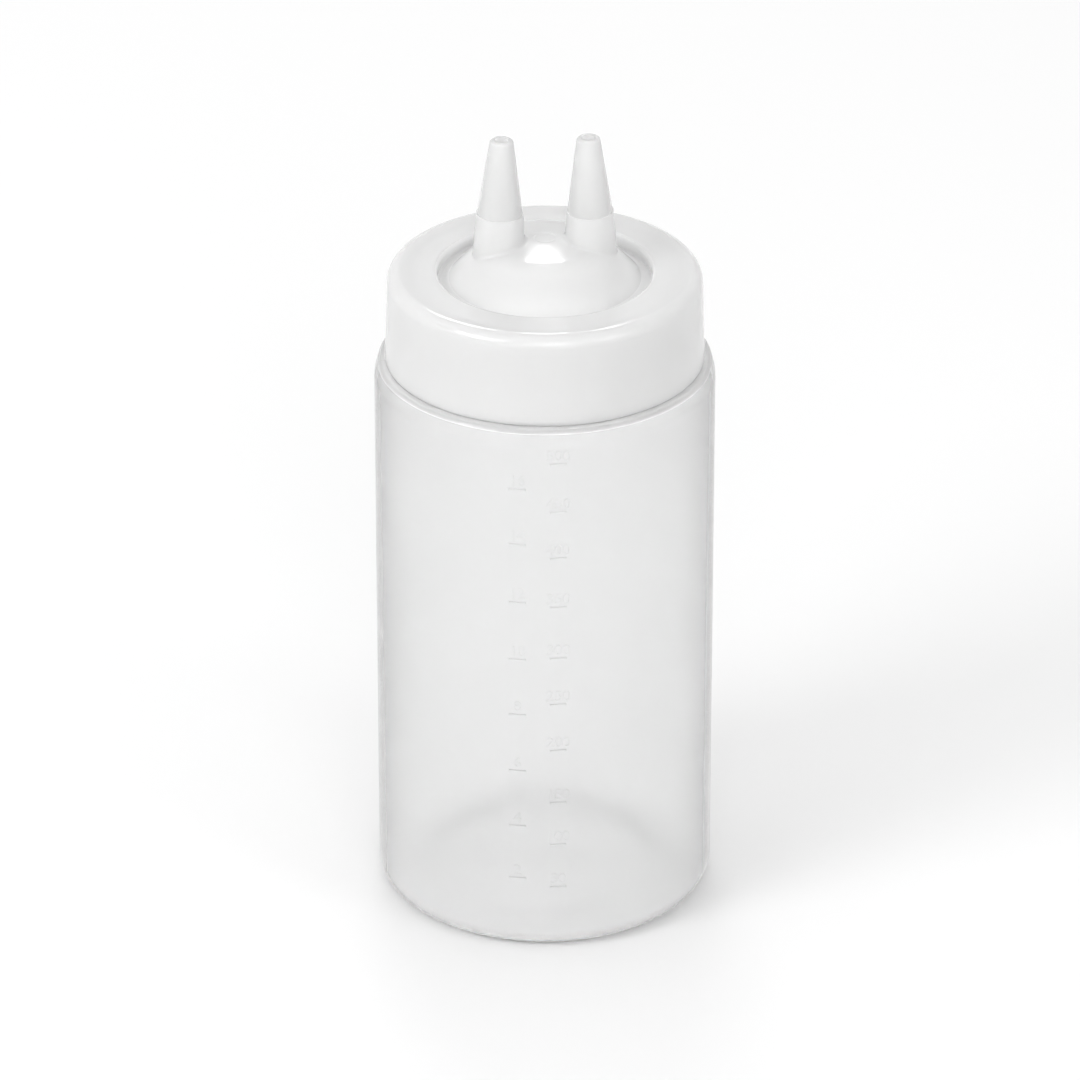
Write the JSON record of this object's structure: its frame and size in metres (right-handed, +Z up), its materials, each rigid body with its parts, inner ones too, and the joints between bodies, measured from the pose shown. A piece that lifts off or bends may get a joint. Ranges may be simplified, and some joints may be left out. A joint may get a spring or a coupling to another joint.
{
  "type": "condiment squeeze bottle",
  "caption": "Soft translucent squeeze bottle for sauces, with a wide neck and a screw cap whose low dome carries twin tapered pouring tips.",
  "frame": {"origin": "on the table under the bottle's axis, at the centre of the standing ring", "axes": "+Z up along the bottle's axis, the two tips side by side along X, the front with the measuring scales towards -Y"},
  "size_m": [0.075, 0.075, 0.1819],
  "materials": {
    "bottle_polyethylene": "blow-moulded natural low-density polyethylene, translucent, satin",
    "cap_polyethylene": "injection-moulded natural low-density polyethylene, translucent, semi-gloss"
  },
  "bodies": {
    "bottle": {"bottle": "bottle_polyethylene"},
    "cap": {"cap": "cap_polyethylene"}
  },
  "joints": [
    {"name": "cap_lift", "type": "slide", "parent": "bottle", "child": "cap", "axis": [0, 0, 1], "range_m": [0, 0.035]}
  ]
}
